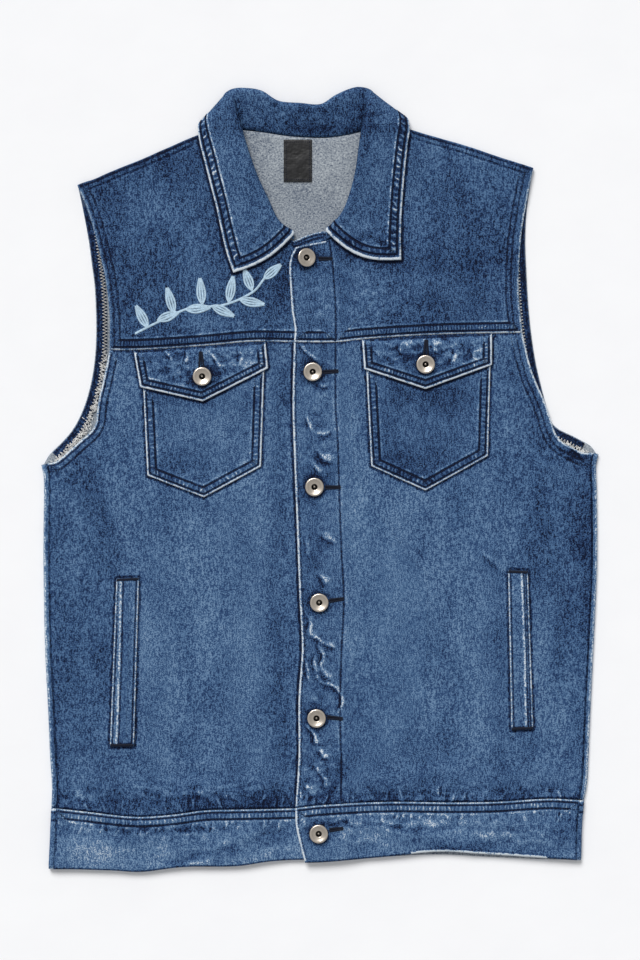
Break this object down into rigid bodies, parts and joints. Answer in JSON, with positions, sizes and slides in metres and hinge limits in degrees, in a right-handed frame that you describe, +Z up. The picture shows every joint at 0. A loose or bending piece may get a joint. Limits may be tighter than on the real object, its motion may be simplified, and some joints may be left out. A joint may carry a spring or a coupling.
{
  "type": "denim vest",
  "caption": "Sleeveless denim trucker vest laid flat and buttoned, with yokes, flapped chest pockets, welt side pockets, waistband and fold-down collar.",
  "frame": {"origin": "bottom centre of the bounding box, on the surface that the vest lies on", "axes": "+Z up off the surface, +Y from the hem to the collar, +X towards the wearer's left side; the front faces up"},
  "size_m": [0.5138, 0.7221, 0.0151],
  "materials": {
    "denim": "washed indigo twill with pale worn edges",
    "yoke_denim": "darker washed indigo twill",
    "denim_inside": "pale wrong side of indigo twill",
    "label_satin": "black satin, bare",
    "button_metal": "antiqued nickel"
  },
  "bodies": {
    "root": {"back_panel": "denim", "back_waistband": "denim", "front_right_panel": "denim", "front_left_panel": "denim", "front_right_yoke": "yoke_denim", "front_left_yoke": "yoke_denim", "front_right_waistband": "denim", "front_left_waistband": "denim", "chest_pocket_right": "denim", "chest_pocket_left": "denim", "pocket_flap_right": "denim", "pocket_flap_left": "denim", "side_welt_right": "denim", "side_welt_left": "denim", "armhole_facing_right": "denim_inside", "armhole_facing_left": "denim_inside", "neck_label": "label_satin", "collar": "denim", "front_button_1": "button_metal", "front_button_2": "button_metal", "front_button_3": "button_metal", "front_button_4": "button_metal", "front_button_5": "button_metal", "front_button_6": "button_metal", "pocket_button_right": "button_metal", "pocket_button_left": "button_metal"}
  },
  "joints": []
}
